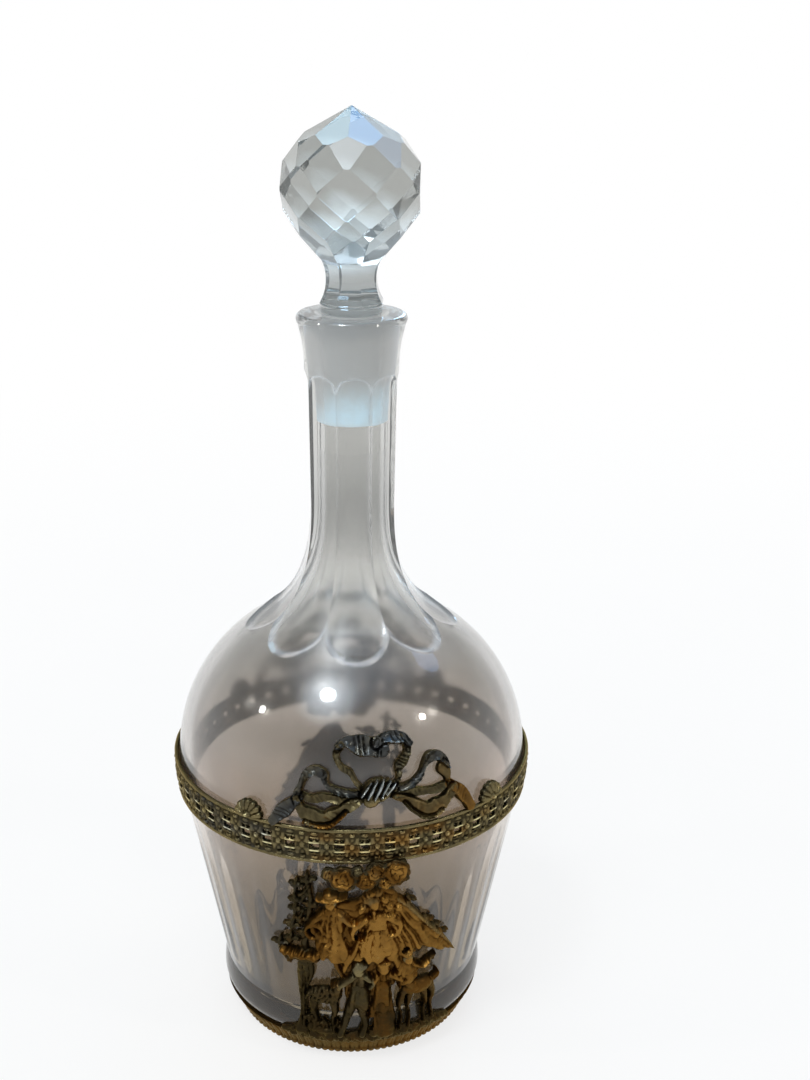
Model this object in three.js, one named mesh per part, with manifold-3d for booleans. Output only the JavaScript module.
// Cut glass decanter with a faceted ball stopper in a gilt openwork mount.
// Millimetres, +Z up. The origin is the middle of the base, and the front of the mount faces -Y.
// Azimuths are turned about +Z from the front, toward +X, and are written in degrees.
import * as THREE from 'three';
import { mergeVertices } from 'three/addons/utils/BufferGeometryUtils.js';
import Module from 'manifold-3d';

const wasm = await Module();
wasm.setup();

// Fits
const GAP = 0.3; // between pieces that rest on, sit in or lie beside each other

// Bottle: outside of the glass, heights above its foot
const FOOT_RADIUS = 24.8;
const BULGE_RADIUS = 29.8; // rounded swelling just above the base band
const BULGE_HEIGHT = 7.5;
const BULGE_ROUND = 4; // radius of that swelling
const WAIST_RADIUS = 29.3; // narrowest place above the swelling
const WAIST_HEIGHT = 11.9;
const TAPER_RADIUS = 36; // top of the straight taper
const TAPER_HEIGHT = 46;
const BODY_RADIUS = 38.3; // widest place of the glass
const BODY_HEIGHT = 62.5;
const SHOULDER_RISE = 36.2; // half height of the ellipse that rounds the shoulder
const SHOULDER_TURN = 52; // degrees of that ellipse before the neck sweeps up
const SHOULDER_HANDLE = 13.5; // how far the sweep keeps the slope of the shoulder
const NECK_HANDLE = 16; // how far it keeps the slope of the neck
const NECK_RADIUS = 9.4;
const NECK_HEIGHT = 120; // where the neck is narrowest
const COLLAR_RADIUS = 9.8; // foot of the plain collar under the lip
const COLLAR_LENGTH = 11.5;
const LIP_RADIUS = 11.4;
const LIP_ROUND = 1.2;
const LIP_HEIGHT = 159.9;

// Bottle: inside of the glass
const WALL = 2.4;
const FLOOR_THICKNESS = 7.5;
const FLOOR_ROUND = 5;
const MOUTH_CHAMFER = 1.2;

// Bottle: cut flutes
const FLUTE_COUNT = 36; // narrow flutes on the lower body
const FLUTE_DEPTH = 0.35;
const FLUTE_RUN = 38; // length of each narrow flute
const FLUTE_FOOT = 12.5; // height of its lower end above the foot of the glass
const FLUTE_FADE = 5; // length over which each end runs out
const PANEL_COUNT = 8; // wide flat panels on the neck
const PANEL_TURN = -4.5; // azimuth of the panel nearest the front, in degrees
const TONGUE_HEIGHT = 92.5; // lower end of each panel, a round tongue on the shoulder
const TONGUE_HALF_WIDTH = 6;
const TONGUE_ROUND = 5;
const SCALLOP_RISE = 2.6; // height of the round top of each panel below the collar

// Stopper: heights above the lip of the bottle
const PLUG_RADIUS = 6.1; // ground plug where it leaves the mouth
const PLUG_TIP_RADIUS = 5;
const PLUG_LENGTH = 22;
const SKIRT_HEIGHT = 2.3; // round foot of the stem, which stands clear of the mouth
const STEM_RADIUS = 5.05; // from the axis to the flats of the stem
const STEM_FLARE = 6.3;
const STEM_WAIST = 7;
const STEM_ROUND = 0.4; // how much the edge of its foot is rounded
const BALL_RADIUS = 13.6; // from the middle of the ball to its facets
const CROWN_RADIUS = 13.2; // from there to the eight facets that meet at the top
const BALL_HEIGHT = 25;
const FACET_COUNT = 8;
const STOPPER_TURN = -11.5; // azimuth of the facet nearest the front, in degrees

// Base band and its beaded wire
const BAND_HEIGHT = 5.4;
const BAND_WALL = 0.6;
const BAND_SPREAD = 0.9; // how far the foot of the band stands off the glass
const SEAT_RADIUS = 20; // hole in the flange that the glass stands on
const SEAT_THICKNESS = 0.8;
const BEAD_RADIUS = 0.5;
const BEAD_INSET = 0.4; // how far the beads stay inside the foot of the band

// Belt round the widest place, heights above the ground
const BELT_FOOT = 56;
const BELT_WIDTH = 8.4;
const BELT_WALL = 0.7;
const WIRE = 0.9; // square wire along either edge of the belt
const WINDOW_COUNT = 48;
const WINDOW_WIDTH = 2.5;
const WINDOW_MARGIN = 0.9; // metal left above and below each window

// Palmettes on the upper edge of the belt
const PALMETTE_AZIMUTH = 40;
const PALMETTE_WIDTH = 6.6;
const PALMETTE_HEIGHT = 3.4;
const PALMETTE_THICKNESS = 0.8;
const PALMETTE_LOBES = 7;

// Bow, flowers and figures
const BOW_SPAN = 41.4; // length round the glass
const BOW_RISE = 17.9;
const RIBBON_RADIUS = 0.85;
const KNOT_RADIUS = 2.3;
const LINK_SPAN = 17.3; // length of the row of flowers round the glass
const FLOWER_THICKNESS = 1.2;
const CASTING_THICKNESS = 1.3;
const GROUND_HALF_WIDTH = 17; // of the strip that the figures stand on
const DRAWN_HEIGHT = 50; // height at which the outline of the figures is drawn

// Facets of round pieces
const GLASS_SIDES = 72;
const BORE_SIDES = 36;
const RING_SIDES = 48;
const CURVE_STEP = 7; // longest facet along a curve of the outlines
const RIBBON_SIDES = 5;

// Places that follow from the sizes above
const glassFoot = SEAT_THICKNESS + GAP;
const lipTop = glassFoot + LIP_HEIGHT;
const bandFoot = 2 * BEAD_RADIUS + GAP;
const beltTop = BELT_FOOT + BELT_WIDTH;
const radians = THREE.MathUtils.degToRad;

// Materials
const clearGlass = new THREE.MeshStandardMaterial({ color: 0xd9dcdc, roughness: 0.05, metalness: 0 });
const gilt = new THREE.MeshStandardMaterial({ color: 0x8c6a2a, roughness: 0.42, metalness: 1 });
const darkGilt = new THREE.MeshStandardMaterial({ color: 0x5f5648, roughness: 0.45, metalness: 1 });

// Points along a path: the ends of its straight stretches and a few on each curve
function pointsOf(path) {
  const points = [path.curves[0].getPoint(0)];
  for (const curve of path.curves) {
    const steps = curve.isLineCurve ? 1 : Math.max(2, Math.ceil(curve.getLength() / CURVE_STEP));
    const next = curve.getPoints(steps).slice(1);
    if (curve.getPoint(0).distanceTo(points.at(-1)) > 1e-6) next.unshift(curve.getPoint(0));
    points.push(...next);
  }
  return points;
}

// Outline of the outside of the glass, from the middle of the foot up to the middle of the mouth
function outsideOutline() {
  const turn = radians(SHOULDER_TURN);
  const start = new THREE.Vector2(BODY_RADIUS * Math.cos(turn), BODY_HEIGHT + SHOULDER_RISE * Math.sin(turn));
  const slope = new THREE.Vector2(-BODY_RADIUS * Math.sin(turn), SHOULDER_RISE * Math.cos(turn)).normalize();
  const leave = start.clone().addScaledVector(slope, SHOULDER_HANDLE);
  const collarHeight = LIP_HEIGHT - COLLAR_LENGTH;
  const path = new THREE.Path();
  path.moveTo(0, 0);
  path.lineTo(FOOT_RADIUS, 0);
  path.absarc(BULGE_RADIUS - BULGE_ROUND, BULGE_HEIGHT, BULGE_ROUND, radians(-55), 0, false);
  path.quadraticCurveTo(BULGE_RADIUS, (BULGE_HEIGHT + WAIST_HEIGHT) / 2, WAIST_RADIUS, WAIST_HEIGHT);
  path.lineTo(TAPER_RADIUS, TAPER_HEIGHT);
  path.quadraticCurveTo(BODY_RADIUS, (TAPER_HEIGHT + 2 * BODY_HEIGHT) / 3, BODY_RADIUS, BODY_HEIGHT);
  path.absellipse(0, BODY_HEIGHT, BODY_RADIUS, SHOULDER_RISE, 0, turn, false);
  path.bezierCurveTo(leave.x, leave.y, NECK_RADIUS, NECK_HEIGHT - NECK_HANDLE, NECK_RADIUS, NECK_HEIGHT);
  path.lineTo(COLLAR_RADIUS, collarHeight);
  path.quadraticCurveTo(COLLAR_RADIUS, (collarHeight + LIP_HEIGHT) / 2, LIP_RADIUS, LIP_HEIGHT - LIP_ROUND);
  path.quadraticCurveTo(LIP_RADIUS, LIP_HEIGHT, LIP_RADIUS - LIP_ROUND, LIP_HEIGHT);
  path.lineTo(0, LIP_HEIGHT);
  return pointsOf(path);
}

// Outline of the hollow, from the middle of the floor up past the mouth
function hollowOutline() {
  const turn = radians(SHOULDER_TURN);
  const widest = BODY_RADIUS - WALL;
  const rise = SHOULDER_RISE - WALL;
  const start = new THREE.Vector2(widest * Math.cos(turn), BODY_HEIGHT + rise * Math.sin(turn));
  const slope = new THREE.Vector2(-widest * Math.sin(turn), rise * Math.cos(turn)).normalize();
  const leave = start.clone().addScaledVector(slope, SHOULDER_HANDLE);
  const floorEdge = WAIST_RADIUS - WALL;
  const boreTip = PLUG_TIP_RADIUS + GAP;
  const mouth = PLUG_RADIUS + GAP;
  const path = new THREE.Path();
  path.moveTo(0, FLOOR_THICKNESS);
  path.lineTo(floorEdge - FLOOR_ROUND, FLOOR_THICKNESS);
  path.quadraticCurveTo(floorEdge, FLOOR_THICKNESS, floorEdge, FLOOR_THICKNESS + FLOOR_ROUND);
  path.lineTo(TAPER_RADIUS - WALL, TAPER_HEIGHT);
  path.quadraticCurveTo(widest, (TAPER_HEIGHT + 2 * BODY_HEIGHT) / 3, widest, BODY_HEIGHT);
  path.absellipse(0, BODY_HEIGHT, widest, rise, 0, turn, false);
  path.bezierCurveTo(leave.x, leave.y, boreTip, NECK_HEIGHT - NECK_HANDLE, boreTip, NECK_HEIGHT);
  path.lineTo(boreTip, LIP_HEIGHT - PLUG_LENGTH - GAP);
  path.lineTo(mouth, LIP_HEIGHT - MOUTH_CHAMFER);
  path.lineTo(mouth + 2 * MOUTH_CHAMFER, LIP_HEIGHT + MOUTH_CHAMFER);
  path.lineTo(0, LIP_HEIGHT + MOUTH_CHAMFER);
  return pointsOf(path);
}

// Puts an extra point on an outline at each of the heights, on the stretch that passes it
function withHeights(points, heights) {
  const result = [...points];
  for (const height of heights) {
    const next = result.findIndex((point) => point.y > height);
    if (next < 1) continue;
    const [low, high] = [result[next - 1], result[next]];
    if (height - low.y < 0.05 || high.y - height < 0.05) continue;
    result.splice(next, 0, low.clone().lerp(high, (height - low.y) / (high.y - low.y)));
  }
  return result;
}

// Radius of the glass at a height above the ground, anywhere between its foot and its neck
const glassOutline = outsideOutline();
function glassRadius(height) {
  const level = height - glassFoot;
  const next = glassOutline.findIndex((point) => point.y >= level && point.y > 0);
  const [low, high] = [glassOutline[next - 1], glassOutline[next]];
  return THREE.MathUtils.mapLinear(level, low.y, high.y, low.x, high.x);
}

// A ring's own radius at its corners, so that the middle of each side still clears the glass
function ringRadius(height) {
  return (glassRadius(height) + GAP) / Math.cos(Math.PI / RING_SIDES);
}

// Heights above the ground at which the outline of the glass bends, from a foot to a top
function levelsBetween(foot, top) {
  const bends = glassOutline.filter((point) => point.x > NECK_RADIUS).map((point) => point.y + glassFoot);
  return [foot, ...bends.filter((height) => height > foot + 0.3 && height < top - 0.3), top];
}

// How wide a panel is at a height: its half angle, which shrinks to nothing at both round ends
function panelHalfAngle(height, radius) {
  const top = LIP_HEIGHT - COLLAR_LENGTH;
  if (height <= TONGUE_HEIGHT || height >= top) return 0;
  const full = Math.min(Math.PI / PANEL_COUNT, Math.asin(Math.min(1, TONGUE_HALF_WIDTH / radius)));
  const below = Math.max(0, 1 - (height - TONGUE_HEIGHT) / TONGUE_ROUND);
  const above = Math.max(0, 1 - (top - height) / SCALLOP_RISE);
  return full * Math.sqrt(1 - below ** 2) * Math.sqrt(1 - above ** 2);
}

// Radius of the cut glass: the turned radius, less the flat panels and the narrow flutes
function cutRadius(radius, height, azimuth) {
  const pitch = (2 * Math.PI) / PANEL_COUNT;
  const offset = Math.abs(azimuth - Math.round(azimuth / pitch) * pitch);
  const flat = (radius * Math.cos(panelHalfAngle(height, radius))) / Math.cos(offset);
  const along = Math.min(height - FLUTE_FOOT, FLUTE_FOOT + FLUTE_RUN - height);
  const fade = THREE.MathUtils.clamp(along / FLUTE_FADE, 0, 1);
  const flute = FLUTE_DEPTH * fade * 0.5 * (1 + Math.cos(azimuth * FLUTE_COUNT));
  return Math.min(radius, flat) - flute;
}

// Turns an outline about the Z axis. An outline either ends on the axis or closes on itself
function turned(outline, sides, start = 0) {
  return new THREE.LatheGeometry(outline, sides, start).rotateX(Math.PI / 2);
}

// A geometry as a closed solid: shared corners joined, empty faces dropped, faces outward
function solid(geometry) {
  const bare = geometry.clone();
  bare.deleteAttribute('normal');
  bare.deleteAttribute('uv');
  const merged = mergeVertices(bare, 1e-4);
  const corners = merged.attributes.position.array;
  const faces = [];
  let volume = 0;
  for (let i = 0; i < merged.index.count; i += 3) {
    const [a, b, c] = [0, 1, 2].map((k) => merged.index.getX(i + k));
    if (a === b || b === c || c === a) continue;
    faces.push(a, b, c);
    const [p, q, r] = [a, b, c].map((k) => new THREE.Vector3().fromArray(corners, 3 * k));
    volume += p.dot(q.cross(r));
  }
  if (volume < 0) faces.reverse();
  const mesh = { numProp: 3, vertProperties: new Float32Array(corners), triVerts: new Uint32Array(faces) };
  return new wasm.Manifold(new wasm.Mesh(mesh));
}

// A solid back as a geometry
function geometryOf(body) {
  const mesh = body.getMesh();
  const geometry = new THREE.BufferGeometry();
  geometry.setAttribute('position', new THREE.BufferAttribute(mesh.vertProperties, 3));
  geometry.setIndex(new THREE.BufferAttribute(mesh.triVerts, 1));
  geometry.computeVertexNormals();
  return geometry;
}

function joined(bodies) {
  return bodies.reduce((sum, body) => sum.add(body));
}

function piece(name, body, material, turn = 0) {
  const mesh = new THREE.Mesh(geometryOf(body), material);
  mesh.name = name;
  mesh.rotation.z = radians(turn);
  return mesh;
}

// Bottle: the turned and cut outside, less the hollow
function bottle() {
  const top = LIP_HEIGHT - COLLAR_LENGTH;
  const tongue = [0, 0.15, 0.5, 1].map((share) => TONGUE_HEIGHT + share * TONGUE_ROUND);
  const scallop = [1, 0.4, 0.1].map((share) => top - share * SCALLOP_RISE);
  const flutes = [0, FLUTE_FADE, FLUTE_RUN - FLUTE_FADE, FLUTE_RUN].map((length) => FLUTE_FOOT + length);
  const outside = turned(withHeights(glassOutline, [...flutes, ...tongue, ...scallop]), GLASS_SIDES);
  const position = outside.attributes.position;
  const corner = new THREE.Vector3();
  for (let i = 0; i < position.count; i += 1) {
    corner.fromBufferAttribute(position, i);
    const radius = Math.hypot(corner.x, corner.y);
    if (radius < 1) continue;
    const cut = cutRadius(radius, corner.z, Math.atan2(corner.x, -corner.y)) / radius;
    position.setXYZ(i, corner.x * cut, corner.y * cut, corner.z);
  }
  const glass = solid(outside).subtract(solid(turned(hollowOutline(), BORE_SIDES)));
  return piece('bottle', glass.translate([0, 0, glassFoot]), clearGlass, PANEL_TURN);
}

// One facet of the ball: a block that cuts off what lies beyond the facet's plane
function facetBlock(polar, azimuth, distance) {
  const size = 3 * BALL_RADIUS;
  const block = new THREE.BoxGeometry(size, size, size).translate(0, 0, distance + size / 2);
  block.rotateX(radians(polar)).rotateZ(azimuth);
  return solid(block.translate(0, 0, BALL_HEIGHT));
}

// Rows of facets from the crown down: polar angle, and whether the row is turned by half a facet
const FACET_ROWS = [
  [31, true],
  [52, false],
  [66, true],
  [90, false],
  [114, true],
  [130, false],
];

function facetedBall() {
  let ball = solid(new THREE.BoxGeometry(1, 1, 1).scale(3 * BALL_RADIUS, 3 * BALL_RADIUS, 3 * BALL_RADIUS)
    .translate(0, 0, BALL_HEIGHT));
  for (const [polar, shifted] of FACET_ROWS) {
    const distance = polar === FACET_ROWS[0][0] ? CROWN_RADIUS : BALL_RADIUS;
    for (let i = 0; i < FACET_COUNT; i += 1) {
      const azimuth = ((i + (shifted ? 0.5 : 0)) * 2 * Math.PI) / FACET_COUNT;
      ball = ball.subtract(facetBlock(polar, azimuth, distance));
    }
  }
  const keep = new THREE.CylinderGeometry(2 * BALL_RADIUS, 2 * BALL_RADIUS, 3 * BALL_RADIUS, FACET_COUNT);
  keep.rotateX(Math.PI / 2).translate(0, 0, STEM_WAIST + 1.5 * BALL_RADIUS);
  return ball.intersect(solid(keep));
}

// Stopper: ball, eight-sided stem, round skirt and ground plug in one piece of glass
function stopper() {
  const inBall = BALL_HEIGHT - BALL_RADIUS;
  const stem = [
    [0, SKIRT_HEIGHT - STEM_ROUND],
    [STEM_FLARE - STEM_ROUND, SKIRT_HEIGHT - STEM_ROUND],
    [STEM_FLARE, SKIRT_HEIGHT],
    [STEM_RADIUS + STEM_ROUND, (SKIRT_HEIGHT + STEM_WAIST) / 2],
    [STEM_RADIUS, STEM_WAIST],
    [STEM_RADIUS + STEM_ROUND, (STEM_WAIST + inBall) / 2],
    [STEM_FLARE, inBall],
    [STEM_FLARE, BALL_HEIGHT],
    [0, BALL_HEIGHT],
  ];
  const plug = [
    [0, -PLUG_LENGTH],
    [PLUG_TIP_RADIUS, -PLUG_LENGTH],
    [PLUG_RADIUS, 0],
    [STEM_FLARE, STEM_ROUND],
    [STEM_FLARE, SKIRT_HEIGHT - STEM_ROUND],
    [STEM_FLARE - STEM_ROUND, SKIRT_HEIGHT],
    [0, SKIRT_HEIGHT],
  ];
  const halfFacet = Math.PI / FACET_COUNT;
  const outline = (points, spread) => points.map(([x, y]) => new THREE.Vector2(x * spread, y));
  const parts = [
    facetedBall(),
    solid(turned(outline(stem, 1 / Math.cos(halfFacet)), FACET_COUNT, halfFacet)),
    solid(turned(outline(plug, 1), BORE_SIDES)),
  ];
  return piece('stopper', joined(parts).translate([0, 0, lipTop]), clearGlass, STOPPER_TURN);
}

// A ring whose section is given by its corners
function ring(corners, sides = RING_SIDES) {
  const outline = corners.map(([radius, height]) => new THREE.Vector2(radius, height));
  return solid(turned([...outline, outline[0].clone()], sides));
}

// Radius of the foot of the base band, over the beads
function bandRadius() {
  return glassRadius(bandFoot + BAND_WALL) + GAP + BAND_SPREAD + BAND_WALL;
}

// Radius of the wall that the beads lie against, under the band
function beadSeat() {
  return bandRadius() - BEAD_INSET - 2 * BEAD_RADIUS - GAP;
}

// Base band: a flange under the glass, a step over the beads and a wall that leans outward
function baseBand() {
  const inner = ringRadius(BAND_HEIGHT);
  const section = [
    [SEAT_RADIUS, 0],
    [beadSeat(), 0],
    [beadSeat(), bandFoot],
    [bandRadius(), bandFoot],
    [inner + BAND_WALL, BAND_HEIGHT],
    [inner, BAND_HEIGHT],
    [bandRadius() - BAND_WALL, bandFoot + BAND_WALL],
    [beadSeat() - BAND_WALL, SEAT_THICKNESS],
    [SEAT_RADIUS, SEAT_THICKNESS],
  ];
  return piece('base_band', ring(section), gilt);
}

function baseBeadWire() {
  const middle = beadSeat() + GAP + BEAD_RADIUS;
  const section = [0, 1, 2, 3, 4, 5].map((i) => {
    const angle = radians(60 * i + 30);
    return [middle + BEAD_RADIUS * Math.cos(angle), BEAD_RADIUS * (1 + Math.sin(angle))];
  });
  return piece('base_bead_wire', ring(section), gilt);
}

// One edge wire of the belt, square in section, hugging the glass
function beltWire(name, height) {
  const [low, high] = [ringRadius(height), ringRadius(height + WIRE)];
  const section = [
    [low, height],
    [low + WIRE, height],
    [high + WIRE, height + WIRE],
    [high, height + WIRE],
  ];
  return piece(name, ring(section), gilt);
}

// Belt: a thin strip between its two wires, pierced by a row of windows
function beltBand() {
  const [foot, top] = [BELT_FOOT + WIRE + GAP, beltTop - WIRE - GAP];
  const [low, high] = [ringRadius(foot), ringRadius(top)];
  let strip = ring([
    [low, foot],
    [low + BELT_WALL, foot],
    [high + BELT_WALL, top],
    [high, top],
  ]);
  const height = top - foot - 2 * WINDOW_MARGIN;
  for (let i = 0; i < WINDOW_COUNT; i += 1) {
    const window = new THREE.BoxGeometry(WINDOW_WIDTH, 8 * BELT_WALL, height);
    window.translate(0, -(low + high) / 2, (foot + top) / 2);
    strip = strip.subtract(solid(window.rotateZ(((i + 0.5) * 2 * Math.PI) / WINDOW_COUNT)));
  }
  return piece('belt_band', strip, gilt);
}

// Palmette: a lobed half disc standing on the upper wire, its flat back toward the glass
function palmette(name, azimuth) {
  const shape = new THREE.Shape();
  const lobe = Math.PI / PALMETTE_LOBES;
  shape.moveTo(PALMETTE_WIDTH / 2, 0);
  for (let i = 0; i < PALMETTE_LOBES; i += 1) {
    for (const share of [0.5, 1]) {
      const angle = (i + share) * lobe;
      const reach = share === 0.5 ? 1 : 0.9;
      shape.lineTo((PALMETTE_WIDTH / 2) * reach * Math.cos(angle), PALMETTE_HEIGHT * reach * Math.sin(angle));
    }
  }
  const plate = new THREE.ExtrudeGeometry(shape, { depth: PALMETTE_THICKNESS, bevelEnabled: false });
  const foot = beltTop + GAP;
  plate.rotateX(Math.PI / 2).translate(0, -glassRadius(foot) - GAP, foot);
  return piece(name, solid(plate), darkGilt, azimuth);
}

// A point in front of the glass at an azimuth and a height, standing off from the surface
function onGlass(azimuth, height, standOff) {
  const radius = glassRadius(height) + standOff;
  const angle = radians(azimuth);
  return new THREE.Vector3(radius * Math.sin(angle), -radius * Math.cos(angle), height);
}

// The bow as drawn: x runs to the right and y up, on a drawing of this size
const BOW_DRAWING = [62, 17.9];

// A ribbon of the bow: a thin tube along the drawn points, laid round the glass
function ribbon(route) {
  const standOff = GAP + 1.35 * RIBBON_RADIUS;
  const points = route.map(([x, y]) => {
    const arc = (x / BOW_DRAWING[0]) * BOW_SPAN;
    const height = beltTop + (y / BOW_DRAWING[1]) * BOW_RISE;
    return onGlass(THREE.MathUtils.radToDeg(arc / BODY_RADIUS), height, standOff);
  });
  const curve = new THREE.CatmullRomCurve3(points, false, 'centripetal');
  const corners = Array.from({ length: RIBBON_SIDES }, (_, i) => {
    const angle = (2 * Math.PI * i) / RIBBON_SIDES;
    return new THREE.Vector2(RIBBON_RADIUS * Math.cos(angle), RIBBON_RADIUS * Math.sin(angle));
  });
  const steps = Math.round(1.6 * (route.length - 1));
  return solid(new THREE.ExtrudeGeometry(new THREE.Shape(corners), {
    steps, extrudePath: curve, bevelEnabled: false,
  }));
}

// Height of the knot on that drawing
const KNOT_DRAWN = 6.7;

// Drawn ribbons: a crinkled top loop, a loop on either side and two tails
const BOW_ROUTES = [
  [[-1, 7], [-5, 9], [-8, 11.3], [-12, 12.8], [-12.9, 15.6], [-9.5, 16.8], [-7, 14.4], [-3, 14.3],
    [0.5, 16.9], [4.5, 17.2], [8.5, 17.9], [11.9, 16.6], [11.3, 14.4], [8.6, 13.2], [6.6, 11], [2, 8]],
  [[-1, 7], [-6, 7.5], [-9.5, 9.4], [-14, 9.4], [-16, 11.2], [-19.5, 11.7], [-22, 9.8], [-24.2, 6.6],
    [-22.8, 4.6], [-18.9, 2.4], [-14, 1.5], [-10.2, 3], [-6.5, 5.2], [-1, 6.4]],
  [[-23.6, 6.2], [-26, 3.9], [-28.4, 2.2], [-30.6, 1.4]],
  [[1, 7], [7, 7.4], [11.4, 8.7], [14.5, 9.8], [16.4, 11.8], [19.7, 13.2], [23.2, 11.5], [23.2, 9.2],
    [22.3, 6.8], [23.4, 4.4]],
  [[1, 6.4], [7.2, 5.4], [11.8, 2.9], [15.5, 1.7], [19.8, 2.2], [23.8, 4], [27, 4.8], [29, 2.6], [31, 1.4]],
];

function bow(name, turn) {
  const centre = onGlass(0, beltTop + (KNOT_DRAWN / BOW_DRAWING[1]) * BOW_RISE, GAP + KNOT_RADIUS);
  const knot = new THREE.SphereGeometry(KNOT_RADIUS, 10, 6).translate(centre.x, centre.y, centre.z);
  return piece(name, joined([...BOW_ROUTES.map(ribbon), solid(knot)]), darkGilt, turn);
}

// The row of flowers as drawn: x to the right, y up from the foot of the belt, and radius
const LINK_DRAWING = 17.3;
const LINK_FLOWERS = [
  [-9.2, -2.6, 1.5],
  [-6.2, -2.8, 2],
  [-2.8, -3.6, 2],
  [0, -2.4, 2.2],
  [3.6, -1.2, 2.9],
];

function flowerLink(name, turn) {
  const wire = ringRadius(BELT_FOOT + WIRE) + WIRE;
  const casting = ringRadius(BELT_FOOT) + CASTING_THICKNESS;
  const back = Math.max(wire, casting) + GAP;
  const scale = LINK_SPAN / LINK_DRAWING;
  const flowers = LINK_FLOWERS.map(([x, y, radius]) => {
    const disc = new THREE.CylinderGeometry(radius * scale, radius * scale, FLOWER_THICKNESS, 10);
    disc.translate(0, -back - FLOWER_THICKNESS / 2, BELT_FOOT + y * scale);
    return solid(disc.rotateZ((x * scale) / back));
  });
  return piece(name, joined(flowers), gilt, turn);
}

// Outlines of the figures as seen from the front: half width to the right, height on the drawing
const FIGURE_OUTLINES = [
  // strip of ground
  [[-GROUND_HALF_WIDTH, 0], [GROUND_HALF_WIDTH, 0], [GROUND_HALF_WIDTH - 1.5, 2.6], [8, 2], [0, 2.6],
    [-7, 1.8], [-GROUND_HALF_WIDTH + 1.5, 2.6]],
  // trunk of the tree
  [[-15, 1], [-12.8, 1], [-12.6, 10], [-12.4, 22], [-13.6, 34], [-13.4, 45], [-15.2, 45], [-15.4, 34],
    [-15.2, 22], [-14.4, 10]],
  // garland under the branches
  [[-20.4, 25], [-17.5, 23.6], [-12.5, 23.4], [-8, 25.6], [-6, 28.4], [-8.6, 28], [-12.5, 26], [-17.5, 26]],
  // youth with a flat hat beside the lady
  [[-11.4, 42.2], [-5.2, 42.8], [-6.6, 40.4], [-5, 37], [-3, 28], [-4, 20], [-10, 24], [-11.4, 36],
    [-9.8, 40.4]],
  // lady in a wide gown
  [[-1.2, 44.4], [2.2, 44.4], [3.2, 40], [5.6, 38], [7.4, 24], [5, 18], [-6.6, 19], [-4.6, 30], [-3, 38],
    [-1.4, 40]],
  // mantle that falls to the right
  [[2.6, 43.4], [5, 42.4], [17.4, 22.4], [18, 19.6], [14.4, 20.8], [7, 26], [3, 34]],
  // children in front
  [[-5, 21], [-4.4, 24], [-1.6, 24], [-0.4, 21.6], [0.6, 23.4], [4, 23.4], [4.8, 20], [6.4, 19], [4.8, 15.4],
    [5.2, 1.5], [-2.2, 1.5], [-4, 8], [-6.6, 15.6]],
  // child on the right
  [[5.8, 13], [6.8, 20.6], [8.2, 23], [10.4, 22.4], [10.2, 19.6], [13.4, 20.6], [13, 17], [9.6, 15.4]],
  // goat
  [[6.4, 16], [14.2, 15.6], [15.2, 17], [15, 1.6], [13.6, 1.6], [12.8, 10.6], [8.6, 10.6], [8.2, 1.6],
    [6.6, 1.6], [6.2, 10]],
  // dog on the left
  [[-13.4, 9.4], [-12.4, 16.8], [-8.6, 15.6], [-6.8, 18.4], [-4.8, 17.6], [-6.2, 8], [-7.4, 1.6], [-11.4, 1.6],
    [-10.6, 7.6]],
];

// Round clumps of leaves: half width to the right, height on the drawing, radius
const LEAF_CLUMPS = [
  [-14.2, 45.6, 2.2],
  [-16.4, 43.6, 1.8],
  [-16.8, 38.6, 2.4],
  [-16.8, 32.4, 2],
  [-11.8, 40, 1.8],
  [7.4, 40, 1.2],
  [9.8, 35.8, 1.3],
  [12.6, 31.6, 1.4],
];

// Figures: the outlines pushed through a thin wall that follows the glass
function pastoralGroup(name, turn) {
  const [foot, top] = [BAND_HEIGHT + GAP, BELT_FOOT - GAP];
  const stretch = (top - foot) / DRAWN_HEIGHT;
  const outlines = FIGURE_OUTLINES.map((points) => new THREE.Shape(
    points.map(([x, y]) => new THREE.Vector2(x, y * stretch)),
  ));
  for (const [x, y, radius] of LEAF_CLUMPS) {
    outlines.push(new THREE.Shape().absarc(x, y * stretch, radius, 0, 2 * Math.PI));
  }
  const prisms = outlines.map((shape) => {
    const prism = new THREE.ExtrudeGeometry(shape, { depth: BODY_RADIUS + 5, curveSegments: 4, bevelEnabled: false });
    return solid(prism.rotateX(Math.PI / 2).translate(0, 0, foot));
  });
  const inner = levelsBetween(foot, top).map((height) => [ringRadius(height), height]);
  const outer = inner.map(([radius, height]) => [radius + CASTING_THICKNESS, height]).reverse();
  return piece(name, joined(prisms).intersect(ring([...inner, ...outer])), gilt, turn);
}

const decanter = new THREE.Group();
decanter.add(bottle(), stopper(), baseBand(), baseBeadWire(), beltBand());
decanter.add(beltWire('belt_lower_wire', BELT_FOOT), beltWire('belt_upper_wire', beltTop - WIRE));
decanter.add(palmette('palmette_front_left', -PALMETTE_AZIMUTH));
decanter.add(palmette('palmette_front_right', PALMETTE_AZIMUTH));
decanter.add(palmette('palmette_back_right', 180 - PALMETTE_AZIMUTH));
decanter.add(palmette('palmette_back_left', 180 + PALMETTE_AZIMUTH));
for (const [side, turn] of [['front', 0], ['back', 180]]) {
  decanter.add(bow(`bow_${side}`, turn));
  decanter.add(flowerLink(`flower_link_${side}`, turn));
  decanter.add(pastoralGroup(`pastoral_group_${side}`, turn));
}

export default decanter;
